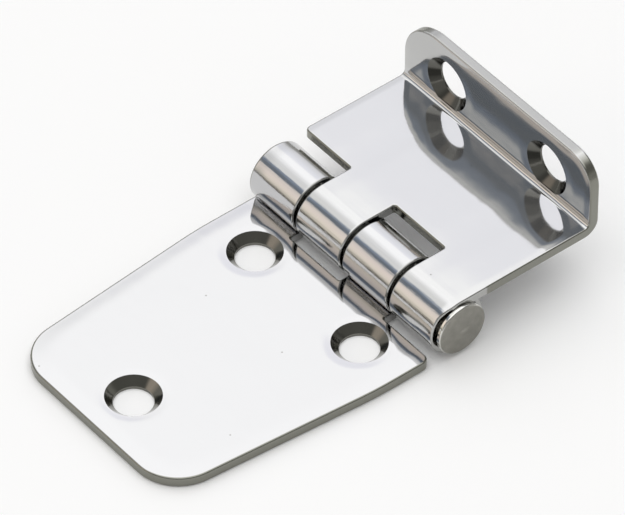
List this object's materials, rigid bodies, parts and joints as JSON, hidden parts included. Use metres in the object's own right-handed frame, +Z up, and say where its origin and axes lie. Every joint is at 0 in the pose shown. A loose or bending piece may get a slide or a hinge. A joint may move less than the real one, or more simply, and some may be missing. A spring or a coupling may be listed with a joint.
{
  "type": "hatch hinge",
  "caption": "Polished steel hatch hinge: a flat tapered leaf and a raised leaf bent up into a flange, with knuckles rolled round one headed pin.",
  "frame": {"origin": "on the tapered leaf's seating face, midway between its two screws beside the barrel", "axes": "+X across the pin towards the flange, +Y along the pin away from its head, +Z up from the seating face; the leaves lie parallel at rest"},
  "size_m": [0.073, 0.0408, 0.0206],
  "materials": {
    "leaf_steel": "mirror-polished stainless steel",
    "pin_steel": "polished stainless steel"
  },
  "bodies": {
    "tapered_side": {"tapered_leaf": "leaf_steel", "hinge_pin": "pin_steel"},
    "flanged_side": {"flanged_leaf": "leaf_steel"}
  },
  "joints": [
    {"name": "leaf_fold", "type": "hinge", "parent": "tapered_side", "child": "flanged_side", "pos_m": [0.0105, 0, 0.00464], "axis": [0, 1, 0], "range_deg": [-151, 157]}
  ]
}
